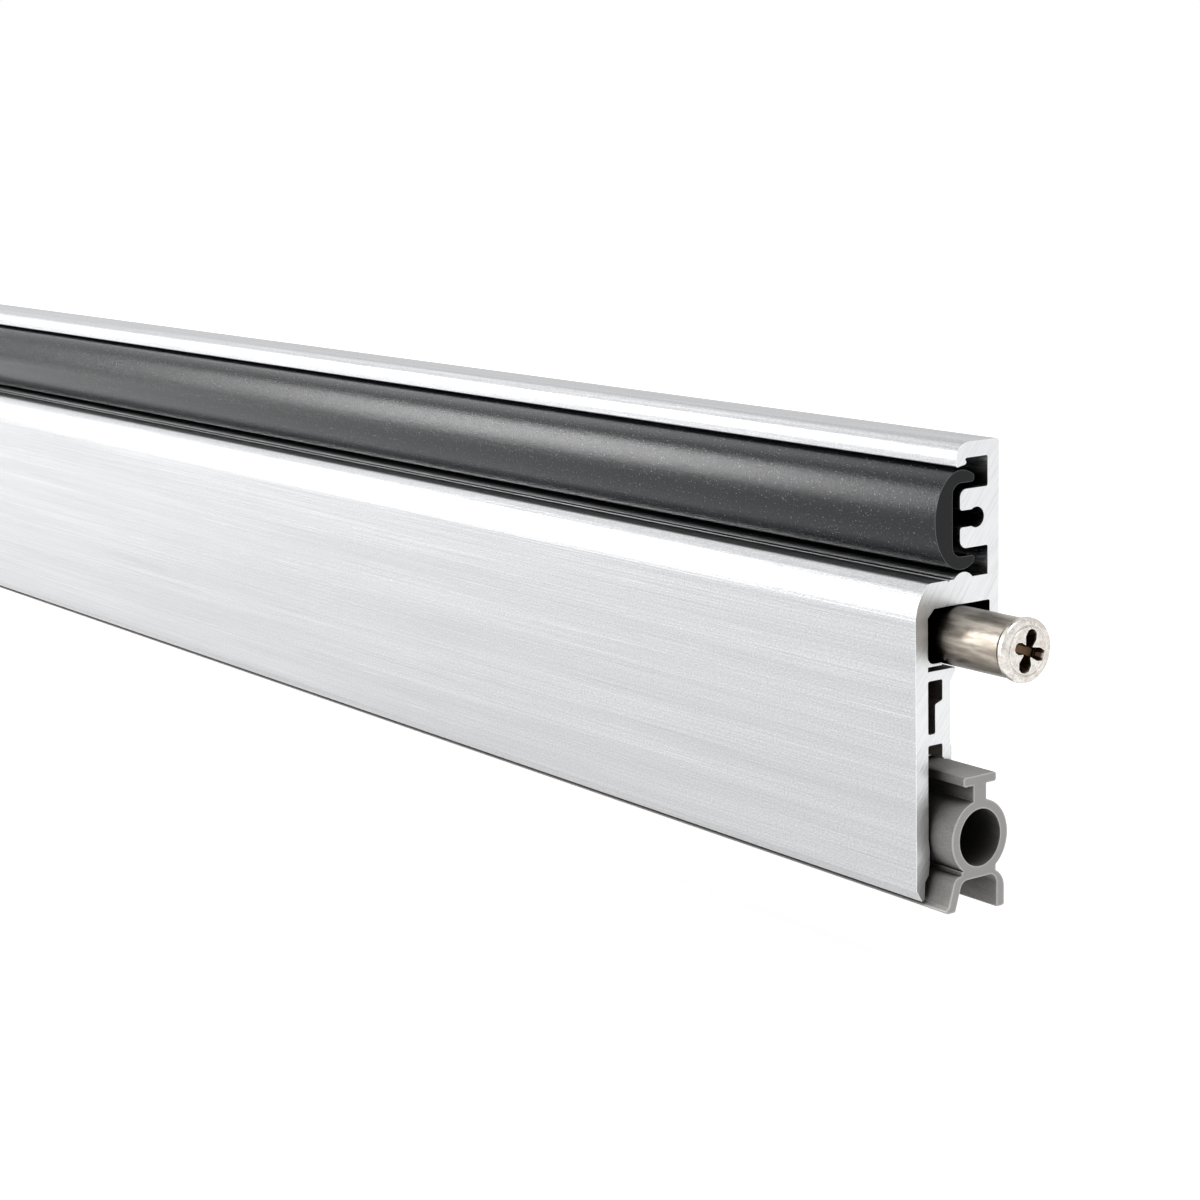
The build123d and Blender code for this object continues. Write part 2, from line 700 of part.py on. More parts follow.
# Guide screw: countersunk, sunk just below the face that meets the door
def guide_screw(x):
    top = GUIDE_SCREW_LENGTH
    cone = (GUIDE_SCREW_HEAD - GUIDE_SCREW) / 2
    profile = [(0, 0), (0, GUIDE_SCREW / 2), (top - cone, GUIDE_SCREW / 2)]
    profile += [(top, GUIDE_SCREW_HEAD / 2), (top, 0)]
    u_face = depth - GUIDE_SCREW_SUNK
    body = pressed(profile, x, u_face - top, plunger_mid)
    slot = Pos(x, plunger_mid) * Rectangle(GUIDE_SCREW_HEAD, GUIDE_SCREW_SLOT)
    return body - sheet(slot, u_face - GUIDE_SCREW_SLOT_DEPTH, u_face)


def carrier_with_holes():
    body = carrier_rail()
    for lift in lifts:
        for x in plate_rivet_places(lift):
            body -= plate_rivet_hole(x)
    return body


parts = {
    "housing": housing(),
    "cover_strip": cover_strip(),
    "seal_strip": seal_strip(),
    "carrier_rail": carrier_with_holes(),
    "plunger_sleeve": plunger_sleeve(),
    "adjusting_screw": adjusting_screw(),
    "return_spring": return_spring(),
    "spring_seat": spring_seat(),
    "thread_block": thread_block(),
    "drive_bar": drive_bar(),
}
for number, x in enumerate(block_rivet_places(), start=1):
    parts[f"block_rivet_{number}"] = block_rivet(x)
for index, lift in enumerate(lifts):
    parts[f"cam_pin_{index + 1}"] = cam_pin(lift)
    parts[f"ramp_plate_{index + 1}"] = ramp_plate(lift)
    parts[f"lift_guide_{index + 1}"] = lift_guide(index)
    for side, x in enumerate(plate_rivet_places(lift)):
        parts[f"plate_rivet_{2 * index + side + 1}"] = plate_rivet(x)
for number, x in enumerate(guide_screw_places(), start=1):
    parts[f"guide_screw_{number}"] = guide_screw(x)

os.makedirs("parts", exist_ok=True)
for name, shape in parts.items():
    export_step(shape, f"parts/{name}.step")
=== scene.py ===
from math import cos, pi, radians, sin

import bmesh
import bpy
from mathutils import Matrix, Vector


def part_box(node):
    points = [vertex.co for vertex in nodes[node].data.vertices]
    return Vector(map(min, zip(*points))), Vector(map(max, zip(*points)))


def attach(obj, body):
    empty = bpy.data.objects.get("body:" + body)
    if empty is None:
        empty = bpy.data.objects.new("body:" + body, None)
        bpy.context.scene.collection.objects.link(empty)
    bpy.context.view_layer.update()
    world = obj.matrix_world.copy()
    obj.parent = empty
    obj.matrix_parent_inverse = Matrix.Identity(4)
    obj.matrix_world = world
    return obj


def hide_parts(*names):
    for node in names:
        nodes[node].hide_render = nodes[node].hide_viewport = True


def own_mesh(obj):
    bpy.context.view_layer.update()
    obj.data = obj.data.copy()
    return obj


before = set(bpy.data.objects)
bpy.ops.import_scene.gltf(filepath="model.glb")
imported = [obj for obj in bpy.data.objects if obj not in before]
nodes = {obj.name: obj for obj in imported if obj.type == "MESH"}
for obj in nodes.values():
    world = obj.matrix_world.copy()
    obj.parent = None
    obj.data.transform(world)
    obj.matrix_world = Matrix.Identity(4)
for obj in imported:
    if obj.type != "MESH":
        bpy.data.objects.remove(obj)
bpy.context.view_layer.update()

# Housing
# One length of aluminium extrusion, sawn square at both ends and anodised in its natural
# colour after that, so the cut faces keep their saw marks under the same clear satin film.
MM = 0.001


def linear(code):
    """Linear colour of an sRGB hex value."""
    parts = [int(code[i : i + 2], 16) / 255 for i in (1, 3, 5)]
    return [p / 12.92 if p <= 0.04045 else ((p + 0.055) / 1.055) ** 2.4 for p in parts] + [1]


def add(tree, kind, inputs=None, **settings):
    """Adds a node and returns its first output. An input is a value, an output or a list of them."""
    made = tree.nodes.new(kind)
    for name, value in settings.items():
        setattr(made, name, value)
    for name, value in (inputs or {}).items():
        ends = value if isinstance(value, list) else [value]
        if isinstance(ends[0], bpy.types.NodeSocket):
            for end in ends:
                tree.links.new(end, made.inputs[name])
        else:
            made.inputs[name].default_value = value
    return made.outputs[0] if made.outputs else None


def new_finish(name):
    """A new material with an empty tree, and its texture coordinates."""
    made = bpy.data.materials.new(name)
    made.use_nodes = True
    tree = made.node_tree
    tree.nodes.clear()
    return made, tree, add(tree, "ShaderNodeTexCoord").node.outputs


def pattern(tree, place, size, low=0.3, high=0.7, most=1.0, turn=0.0, detail=2.0):
    """Noise in patches of a size in mm, turned about X, where low gives 0 and high gives most."""
    scale = [1 / (s * MM) for s in size]
    turned = add(tree, "ShaderNodeMapping", {"Vector": place, "Rotation": (radians(turn), 0, 0)})
    mapped = add(tree, "ShaderNodeMapping", {"Vector": turned, "Scale": scale})
    noise = add(tree, "ShaderNodeTexNoise", {"Vector": mapped, "Scale": 1.0, "Detail": detail})
    spread = {"Value": noise, "From Min": low, "From Max": high, "To Max": most}
    return add(tree, "ShaderNodeMapRange", spread)


def on_cut(tree, coords):
    """1 on a face that looks along the length, which is where a profile was cut, else 0."""
    x = add(tree, "ShaderNodeSeparateXYZ", {"Vector": coords["Normal"]})
    size = add(tree, "ShaderNodeMath", {0: x}, operation="ABSOLUTE")
    return add(tree, "ShaderNodeMapRange", {"Value": size, "From Min": 0.8, "From Max": 0.9})


def painted_edge_highlight(tree, radius, most):
    """Share of painted highlight: up to most within the radius in mm of a sharp edge, and 0 on an open
    face.
    """
    flat = add(tree, "ShaderNodeNewGeometry").node.outputs["Normal"]
    eased = add(tree, "ShaderNodeBevel", {"Radius": radius * MM}, samples=6)
    dot = add(tree, "ShaderNodeVectorMath", {0: flat, 1: eased}, operation="DOT_PRODUCT")
    turn = {"Value": dot.node.outputs["Value"], "From Min": 0.98, "From Max": 0.86, "To Max": most}
    return add(tree, "ShaderNodeMapRange", turn)


def painted_hollow_shade(tree, distance, clear, closed, most, **settings):
    """Share of painted shade in hollows: rises to most as the share left open within the distance in
    mm falls from clear to closed.
    """
    light = add(tree, "ShaderNodeAmbientOcclusion", {"Distance": distance * MM}, samples=8, **settings)
    spread = {"Value": light.node.outputs["AO"], "From Min": clear, "From Max": closed}
    return add(tree, "ShaderNodeMapRange", {**spread, "To Max": most})


def coated(tree, colour, *coats):
    """A hex colour under coats, each a share from 0 to 1 with a hex colour or an output."""
    colour = linear(colour)
    for share, over in coats:
        over = linear(over) if isinstance(over, str) else over
        mix = {"Fac": share, "Color1": colour, "Color2": over}
        colour = add(tree, "ShaderNodeMixRGB", mix)
    return colour


def shade(tree, surface, relief, height, round_edge):
    """Principled surface with a relief of the height and edges rounded by a radius, both in mm."""
    eased = add(tree, "ShaderNodeBevel", {"Radius": round_edge * MM}, samples=6)
    bump = {"Height": relief, "Strength": 1.0, "Distance": height * MM, "Normal": eased}
    bumped = add(tree, "ShaderNodeBump", bump)
    shader = add(tree, "ShaderNodeBsdfPrincipled", {**surface, "Normal": bumped})
    add(tree, "ShaderNodeOutputMaterial", {"Surface": shader})


# Satin aluminium shows fine lines and wider dull bands that the die leaves along the length,
# and slanting saw marks on its cut faces. Real lines and marks are finer, and are drawn this
# coarse so that they show. Painted shade makes the plunger's room near black and the hollow
# ribs below it brownish, and a painted highlight lies along the sharp edges.
DIE_BANDS = (130, 2.6, 2.6)
DIE_LINES = (45, 0.22, 0.22)
PALE_LINES = (26, 0.14, 0.14)
DARK_LINES = (30, 0.12, 0.12)
ETCHED_GRAIN = (0.34, 0.16, 0.16)
SAW_MARKS = (1, 0.16, 4.5)
SAW_SLANT = 38
PLUNGER_ROOM_FLOOR = -17 * MM
RIB_ROOMS_TOP = -18 * MM


def extruded_aluminium(name, face, band, cut, low_rough, high_rough):
    """Extruded and sawn aluminium, with the colours of its face, its bands and its cut ends, a painted
    highlight on its edges and painted shade in its hollows.
    """
    made, tree, coords = new_finish(name)
    place = coords["Object"]
    lines = pattern(tree, place, DIE_LINES, detail=3.0)
    grain = pattern(tree, place, ETCHED_GRAIN)
    saw = pattern(tree, place, SAW_MARKS, turn=SAW_SLANT)
    sawn_face = on_cut(tree, coords)
    marks = pattern(tree, place, SAW_MARKS, low=0.45, high=0.75, most=0.7, turn=SAW_SLANT)
    height = add(tree, "ShaderNodeSeparateXYZ", {"Vector": place}).node.outputs["Z"]
    low_down = {"Value": height, "From Min": PLUNGER_ROOM_FLOOR, "From Max": RIB_ROOMS_TOP}
    # Painted shade for the hollows: near black in the plunger's room, brownish in the hollow ribs
    # below it
    painted_room_shade = coated(tree, "#15120f", (add(tree, "ShaderNodeMapRange", low_down), "#b5aca6"))
    colour = coated(
        tree,
        face,
        (pattern(tree, place, DIE_BANDS, low=0.35, high=0.7, most=0.5), band),
        (pattern(tree, place, DIE_LINES, most=0.6, detail=3.0), band),
        (pattern(tree, place, ETCHED_GRAIN, low=0.35, high=0.75, most=0.8), "#98999b"),
        (pattern(tree, place, PALE_LINES, low=0.66, high=0.76, most=0.3), "#ececec"),
        (pattern(tree, place, DARK_LINES, low=0.66, high=0.76, most=0.4), "#858688"),
        (sawn_face, coated(tree, cut, (marks, face))),
        # Painted highlight along the sharp edges, then painted shade in the hollows
        (painted_edge_highlight(tree, radius=0.16, most=0.85), "#f8f8f8"),
        (painted_hollow_shade(tree, distance=5.0, clear=0.6, closed=0.22, most=0.96), painted_room_shade),
    )
    rough = {"Value": lines, "To Min": low_rough, "To Max": high_rough}
    surface = {
        "Base Color": colour,
        "Metallic": 1.0,
        "Roughness": add(tree, "ShaderNodeMapRange", rough),
    }
    half_grain = add(tree, "ShaderNodeMath", {0: grain, 1: 0.5}, operation="MULTIPLY")
    skin = add(tree, "ShaderNodeMath", {0: lines, 1: half_grain}, operation="ADD")
    relief = add(tree, "ShaderNodeMix", {0: sawn_face, 2: skin, 3: saw})
    shade(tree, surface, relief, height=0.009, round_edge=0.08)
    return made


def paint(material, *names):
    """Gives the material to CAD nodes."""
    for name in names:
        data = nodes[name].data
        data.materials.clear()
        data.materials.append(material)


satin_anodised = extruded_aluminium(
    "satin_anodised_aluminium",
    face="#c6c7c8",
    band="#a9aaac",
    cut="#dcddde",
    low_rough=0.29,
    high_rough=0.4,
)
paint(satin_anodised, "housing")

# Cover strip
# Extruded rigid PVC in charcoal, pushed in over the screws after the housing is fixed. It
# springs between the top lip and the bead, and its cut end is duller than its skin.
made, tree, coords = new_finish("charcoal_extruded_pvc")
place = coords["Object"]

# Nearly black, with a fine grain along the length, pale specks, a soft gloss and a painted highlight
# along its edges
colour = coated(
    tree,
    "#101214",
    (pattern(tree, place, (90, 1.6, 1.6)), "#15181b"),
    (pattern(tree, place, (0.3, 0.12, 0.12), low=0.35, high=0.7, most=0.5), "#24272b"),
    (pattern(tree, place, (0.24, 0.18, 0.18), low=0.72, high=0.8, most=0.6, detail=0.0), "#8d9093"),
    (on_cut(tree, coords), "#090b0e"),
    # Painted highlight along the edges
    (painted_edge_highlight(tree, radius=0.16, most=0.6), "#8f9294"),
)
skin = pattern(tree, place, (0.3, 0.1, 0.1), detail=3.0)
strip_surface = {
    "Base Color": colour,
    "Roughness": add(tree, "ShaderNodeMapRange", {"Value": skin, "To Min": 0.16, "To Max": 0.23}),
    "IOR": 1.53,
    "Specular IOR Level": 0.19,
}
shade(tree, strip_surface, skin, height=0.01, round_edge=0.05)
paint(made, "cover_strip")

# Spring seat and lift guides
# Moulded in black acetal. The guides stand between the walls and hold the ramp plates
# upright, and the seat takes the push of the return spring.
made, tree, coords = new_finish("moulded_acetal")
place = coords["Object"]

# Waxy black, with faint clouds where the melt flowed
flow = pattern(tree, place, (8, 5, 5))
skin = pattern(tree, place, (0.3, 0.3, 0.3), detail=3.0)
acetal_surface = {
    "Base Color": coated(tree, "#1b1b1d", (flow, "#26272a")),
    "Roughness": add(tree, "ShaderNodeMapRange", {"Value": skin, "To Min": 0.38, "To Max": 0.5}),
    "IOR": 1.48,
}
shade(tree, acetal_surface, skin, height=0.01, round_edge=0.1)
paint(made, "spring_seat", "lift_guide_1", "lift_guide_2")

# Carrier rail
# A second, smaller extrusion left in mill finish because the housing hides it. It looks duller
# and greyer than the housing. The head of the seal slides into it from one end.
mill_finish = extruded_aluminium(
    "mill_finish_aluminium",
    face="#b0b1b4",
    band="#a3a5a8",
    cut="#c9c9c9",
    low_rough=0.38,
    high_rough=0.5,
)
paint(mill_finish, "carrier_rail")

# Seal strip
# Silicone extruded in grey. Its head is threaded into the carrier rail, and its end is cut
# with a blade.
made, tree, coords = new_finish("extruded_silicone")
place = coords["Object"]

# Matt, with a fine bloom, painted light that makes what faces up paler, a painted highlight along
# every thin edge, and painted shade in its hollows
upward = add(tree, "ShaderNodeSeparateXYZ", {"Vector": coords["Normal"]}).node.outputs["Z"]
painted_top_light = {"Value": upward, "From Min": 0.6, "From Max": 0.95, "To Max": 0.8}
colour = coated(
    tree,
    "#848380",
    (pattern(tree, place, (3.0, 0.7, 0.7), low=0.35, high=0.7, detail=4.0), "#93918e"),
    # Painted light: paler on what faces up
    (add(tree, "ShaderNodeMapRange", painted_top_light), "#bbb9b5"),
    (on_cut(tree, coords), "#aba9a8"),
    (pattern(tree, place, (0.16, 0.16, 0.16), low=0.4, high=0.75, most=0.35), "#bebcba"),
    # Painted highlight along thin edges, then painted shade in the hollows
    (painted_edge_highlight(tree, radius=0.4, most=0.95), "#e6e2df"),
    (painted_hollow_shade(tree, distance=12.0, clear=0.8, closed=0.32, most=0.97), "#14130f"),
)
bloom = pattern(tree, place, (0.5, 0.25, 0.25), detail=4.0)
seal_surface = {
    "Base Color": colour,
    "Roughness": add(tree, "ShaderNodeMapRange", {"Value": bloom, "To Min": 0.55, "To Max": 0.7}),
    "IOR": 1.41,
}
shade(tree, seal_surface, bloom, height=0.012, round_edge=0.08)
paint(made, "seal_strip")

# Steel of the mechanism
# Stamped ramp plates and drive bar, turned pins and rivets, all bright zinc plated. The
# plating is faintly blue and softly clouded, over shallow lines from the rolling.
zinc_plate, tree, coords = new_finish("bright_zinc_plate")
place = coords["Object"]
cloud = pattern(tree, place, (2.5, 2.5, 2.5), detail=4.0)
zinc_surface = {
    "Base Color": coated(tree, "#a9acb2", (cloud, "#bfc0c3")),
    "Metallic": 1.0,
    "Roughness": add(tree, "ShaderNodeMapRange", {"Value": cloud, "To Min": 0.26, "To Max": 0.4}),
}
rolling_lines = pattern(tree, place, (6.0, 0.3, 0.3))
shade(tree, zinc_surface, rolling_lines, height=0.004, round_edge=0.06)
paint(zinc_plate, "drive_bar", "thread_block", "ramp_plate_1", "ramp_plate_2")
paint(zinc_plate, "cam_pin_1", "cam_pin_2", "block_rivet_1", "block_rivet_2")

# Plate rivets
# Short steel rivets, two to each ramp plate, set with a low round head on both sides of the
# plate and the carrier's ridge.
FLOAT = "NodeSocketFloat"
RIVET_SHANK = 1.6 * MM
RIVET_DOME = 0.45 * MM


def growing_tree(name, sizes):
    """Empty geometry tree with a geometry input, named inputs, and a geometry output."""
    tree = bpy.data.node_groups.new(name, "GeometryNodeTree")
    tree.interface.new_socket("Geometry", in_out="INPUT", socket_type="NodeSocketGeometry")
    for size, kind in sizes.items():
        tree.interface.new_socket(size, in_out="INPUT", socket_type=kind)
    tree.interface.new_socket("Geometry", in_out="OUTPUT", socket_type="NodeSocketGeometry")
    return tree, add(tree, "NodeGroupInput").node.outputs


def placed(tree, shape, points, material):
    """Ends a tree: the shape at every point, made real, in its material."""
    stood = add(tree, "GeometryNodeInstanceOnPoints", {"Points": points, "Instance": shape})
    real = add(tree, "GeometryNodeRealizeInstances", {"Geometry": stood})
    painted = add(tree, "GeometryNodeSetMaterial", {"Geometry": real, "Material": material})
    add(tree, "NodeGroupOutput", {"Geometry": painted})


def grown(name, places, tree, inputs):
    """Plain mesh object from a geometry tree that works on points at the places."""
    mesh = bpy.data.meshes.new(name)
    mesh.from_pydata([tuple(p) for p in places], [], [])
    made = bpy.data.objects.new(name, mesh)
    bpy.context.scene.collection.objects.link(made)
    modifier = made.modifiers.new("grow", "NODES")
    modifier.node_group = tree
    for item in tree.interface.items_tree:
        if item.name in inputs:
            modifier[item.identifier] = inputs[item.name]
    bpy.context.view_layer.update()
    result = made.evaluated_get(bpy.context.evaluated_depsgraph_get())
    made.data = bpy.data.meshes.new_from_object(result)
    made.modifiers.remove(modifier)
    return made


def middle(name):
    """Centre of a CAD node."""
    low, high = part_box(name)
    return (Vector(low) + Vector(high)) / 2


def lengths(name):
    """Lengths of a CAD node along X, Y and Z."""
    low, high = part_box(name)
    return Vector(high) - Vector(low)


tree, given = growing_tree("rivet", {"Shank": FLOAT, "Head": FLOAT, "Dome": FLOAT, "Grip": FLOAT})
head_radius = add(tree, "ShaderNodeMath", {0: given["Head"], 1: 0.5}, operation="MULTIPLY")
shank_radius = add(tree, "ShaderNodeMath", {0: given["Shank"], 1: 0.5}, operation="MULTIPLY")
head_size = {"X": head_radius, "Y": given["Dome"], "Z": head_radius}
head_size = add(tree, "ShaderNodeCombineXYZ", head_size)
ball = add(tree, "GeometryNodeMeshUVSphere", {"Segments": 32, "Rings": 16, "Radius": 1.0})
shank_size = {"Vertices": 32, "Radius": shank_radius, "Depth": given["Grip"]}
shank = add(tree, "GeometryNodeMeshCylinder", shank_size)
pieces = [add(tree, "GeometryNodeTransform", {"Geometry": shank, "Rotation": (pi / 2, 0, 0)})]
for side in (-0.5, 0.5):
    shift = add(tree, "ShaderNodeMath", {0: given["Grip"], 1: side}, operation="MULTIPLY")
    at = add(tree, "ShaderNodeCombineXYZ", {"Y": shift})
    head = {"Geometry": ball, "Translation": at, "Scale": head_size}
    pieces.append(add(tree, "GeometryNodeTransform", head))
rivet = add(tree, "GeometryNodeJoinGeometry", {0: pieces})
placed(tree, rivet, given["Geometry"], zinc_plate)

rivet_names = [f"plate_rivet_{i}" for i in range(1, 5)]
rivet_size = lengths(rivet_names[0])
rivets = grown(
    "plate_rivets",
    [middle(name) for name in rivet_names],
    tree,
    {
        "Shank": RIVET_SHANK,
        "Head": rivet_size.x,
        "Dome": RIVET_DOME,
        "Grip": rivet_size.y - 2 * RIVET_DOME,
    },
)
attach(rivets, "carrier")
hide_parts(*rivet_names)

# Guide screws
# Countersunk steel screws, zinc plated, put in through the back plate to hold the lift
# guides and the spring seat. Each has a cross recess and sits just under the back face.
GUIDE_SHANK = 2.2 * MM
GUIDE_RECESS = 2.4 * MM
SHANK_UNDER_FACE = 0.05 * MM
ROOT_TO_SHANK = 0.42
WING_TO_RECESS = 0.22
DEEP_TO_RECESS = 0.8

# The cone and the shank, drawn as thin as the root of its thread, are one body, and two crossed
# bars cut the recess out of it
tree, given = growing_tree(
    "countersunk_screw", {"Shank": FLOAT, "Head": FLOAT, "Length": FLOAT, "Recess": FLOAT}
)
head_radius = add(tree, "ShaderNodeMath", {0: given["Head"], 1: 0.5}, operation="MULTIPLY")
root_radius = {0: given["Shank"], 1: ROOT_TO_SHANK}
root_radius = add(tree, "ShaderNodeMath", root_radius, operation="MULTIPLY")
cone_depth = add(tree, "ShaderNodeMath", {0: head_radius, 1: root_radius}, operation="SUBTRACT")
cone_size = {"Vertices": 48, "Radius Top": head_radius, "Radius Bottom": root_radius}
cone = add(tree, "GeometryNodeMeshCone", {**cone_size, "Depth": cone_depth})
fall = add(tree, "ShaderNodeMath", {0: cone_depth, 1: -1.0}, operation="MULTIPLY")
cone_place = add(tree, "ShaderNodeCombineXYZ", {"Z": fall})
cone = add(tree, "GeometryNodeTransform", {"Geometry": cone, "Translation": cone_place})
shank_size = {"Vertices": 32, "Radius": root_radius, "Depth": given["Length"]}
shank = add(tree, "GeometryNodeMeshCylinder", shank_size)
fall = {0: given["Length"], 1: -0.5, 2: -SHANK_UNDER_FACE}
fall = add(tree, "ShaderNodeMath", fall, operation="MULTIPLY_ADD")
shank_place = add(tree, "ShaderNodeCombineXYZ", {"Z": fall})
shank = add(tree, "GeometryNodeTransform", {"Geometry": shank, "Translation": shank_place})
body = {1: [cone, shank]}
body = add(tree, "GeometryNodeMeshBoolean", body, operation="UNION", solver="EXACT")
wing_width = {0: given["Recess"], 1: WING_TO_RECESS}
wing_width = add(tree, "ShaderNodeMath", wing_width, operation="MULTIPLY")
wing_depth = {0: given["Recess"], 1: DEEP_TO_RECESS}
wing_depth = add(tree, "ShaderNodeMath", wing_depth, operation="MULTIPLY")
wing = {"X": given["Recess"], "Y": wing_width, "Z": wing_depth}
wing = add(tree, "GeometryNodeMeshCube", {"Size": add(tree, "ShaderNodeCombineXYZ", wing)})
wings = [
    add(tree, "GeometryNodeTransform", {"Geometry": wing, "Rotation": (0, 0, turn)})
    for turn in (pi / 4, -pi / 4)
]
cut = {"Mesh 1": body, 1: wings}
cut = add(tree, "GeometryNodeMeshBoolean", cut, operation="DIFFERENCE", solver="EXACT")
upright = add(tree, "GeometryNodeTransform", {"Geometry": cut, "Rotation": (-pi / 2, 0, 0)})
placed(tree, upright, given["Geometry"], zinc_plate)

screw_names = [f"guide_screw_{i}" for i in range(1, 6)]
screw_size = lengths(screw_names[0])
screw_tops = [middle(name) + Vector((0, screw_size.y / 2, 0)) for name in screw_names]
screws = grown(
    "guide_screws",
    screw_tops,
    tree,
    {
        "Shank": GUIDE_SHANK,
        "Head": screw_size.x,
        "Length": screw_size.y - 2 * SHANK_UNDER_FACE,
        "Recess": GUIDE_RECESS,
    },
)
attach(screws, "housing")
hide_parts(*screw_names)

# Return spring
# Cold coiled from round spring steel wire, with its end turns closed and laid flat against
# the seat and the sleeve. It shortens as the plunger goes in.
WIRE = 0.8 * MM
STROKE = 10 * MM

# Drawn wire under a film of oil: dark grey metal, softly mottled
spring_wire, tree, coords = new_finish("oiled_spring_wire")
drawn = pattern(tree, coords["Object"], (0.3, 0.3, 0.3))
wire_surface = {
    "Base Color": coated(tree, "#6c6c6e", (drawn, "#8a8a8b")),
    "Metallic": 1.0,
    "Roughness": add(tree, "ShaderNodeMapRange", {"Value": drawn, "To Min": 0.28, "To Max": 0.42}),
}
shade(tree, wire_surface, drawn, height=0.003, round_edge=0.02)

# The coil's height follows a slow, fast, slow course along the wire, so its end turns close up
coil, given = growing_tree(
    "coil",
    {
        "Radius": FLOAT,
        "Wire": FLOAT,
        "Length": FLOAT,
        "Turns": FLOAT,
        "Sides": "NodeSocketInt",
        "Closed": FLOAT,
        "Material": "NodeSocketMaterial",
    },
)
spiral = {
    "Resolution": 40,
    "Rotations": given["Turns"],
    "Start Radius": given["Radius"],
    "End Radius": given["Radius"],
    "Height": given["Length"],
}
spiral = add(coil, "GeometryNodeCurveSpiral", spiral)
share = add(coil, "GeometryNodeSplineParameter").node.outputs["Factor"]
eased = add(coil, "ShaderNodeMapRange", {"Value": share}, interpolation_type="SMOOTHSTEP")
change = add(coil, "ShaderNodeMath", {0: eased, 1: share}, operation="SUBTRACT")
lift = add(coil, "ShaderNodeMath", {0: change, 1: given["Length"]}, operation="MULTIPLY")
lift = add(coil, "ShaderNodeMath", {0: lift, 1: given["Closed"]}, operation="MULTIPLY")
offset = add(coil, "ShaderNodeCombineXYZ", {"Z": lift})
eased_spiral = add(coil, "GeometryNodeSetPosition", {"Geometry": spiral, "Offset": offset})
circle = {"Resolution": given["Sides"], "Radius": given["Wire"]}
circle = add(coil, "GeometryNodeCurvePrimitiveCircle", circle)
wound = {"Curve": eased_spiral, "Profile Curve": circle, "Fill Caps": True}
wound = add(coil, "GeometryNodeCurveToMesh", wound)
lying = add(coil, "GeometryNodeTransform", {"Geometry": wound, "Rotation": (0, pi / 2, 0)})
placed(coil, lying, given["Geometry"], given["Material"])

spring_low, spring_high = [Vector(c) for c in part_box("return_spring")]
axis = middle("plunger_sleeve")
free_length = spring_high.x - spring_low.x
spring = grown(
    "coil_spring",
    [(spring_low.x + WIRE / 2, axis.y, axis.z)],
    coil,
    {
        "Radius": (spring_high.z - spring_low.z - WIRE) / 2,
        "Wire": WIRE / 2,
        "Length": free_length - WIRE,
        "Turns": 6.0,
        "Sides": 16,
        "Closed": 0.45,
        "Material": spring_wire,
    },
)
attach(spring, "housing")
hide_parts("return_spring")
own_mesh(spring)

# Plunger sleeve
# Turned from brass bar and nickel plated, slightly warm in colour, with the lathe's fine
# rings round it. Its colour carries painted light: a touch darker on top, a dull brown painted
# reflection underneath, and painted shade where it slides into the housing.
LATHE_RINGS = (0.09, 30, 30)
made, tree, coords = new_finish("satin_nickel_plate")
place = coords["Object"]
up = add(tree, "ShaderNodeSeparateXYZ", {"Vector": coords["Normal"]}).node.outputs["Z"]
painted_dark_reflection = {"Value": up, "From Min": 0.15, "From Max": -0.85, "To Max": 0.95}
painted_top_tone = {"Value": up, "From Min": 0.6, "From Max": 0.95, "To Max": 0.1}
colour = coated(
    tree,
    "#bbb4aa",
    (pattern(tree, place, (4.0, 0.6, 0.6), low=0.4, high=0.6, most=0.85, detail=4.0), "#877e72"),
    (pattern(tree, place, LATHE_RINGS, most=0.15), "#a89e90"),
    # Painted tone a touch darker on top, and a painted dark reflection underneath
    (add(tree, "ShaderNodeMapRange", painted_top_tone), "#9f968a"),
    (add(tree, "ShaderNodeMapRange", painted_dark_reflection), "#6a6156"),
    # Painted shade where it slides into the housing
    (painted_hollow_shade(tree, distance=14.0, clear=0.94, closed=0.5, most=0.95), "#1d1811"),
)
rings = pattern(tree, place, LATHE_RINGS)
nickel_surface = {
    "Base Color": colour,
    "Metallic": 1.0,
    "Roughness": add(tree, "ShaderNodeMapRange", {"Value": rings, "To Min": 0.28, "To Max": 0.4}),
}
shade(tree, nickel_surface, rings, height=0.005, round_edge=0.1)
paint(made, "plunger_sleeve")

# Adjusting screw
# A long steel screw, nickel plated like the sleeve, with a flat round head that caps it. The
# head has a turned ring round its face and a cross recess, brown inside with painted shade deeper in.
sleeve_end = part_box("plunger_sleeve")[1][0]
screw_low, screw_high = [Vector(c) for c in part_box("adjusting_screw")]
tip = screw_low.x
neck = sleeve_end + 0.05 * MM
head_face = screw_high.x
HEAD_RADIUS = (screw_high.z - screw_low.z) / 2
SHANK_RADIUS = 2.0 * MM
THREAD_DEPTH = 0.3 * MM
THREADED = 22 * MM
TIP_BEVEL = 0.5 * MM
UNDERSIDE_ROUND = 0.25 * MM
RIM_ROUND = 0.45 * MM
RING_RADIUS = 2.8 * MM
RING_DEPTH = 0.18 * MM
SEGMENTS = 96

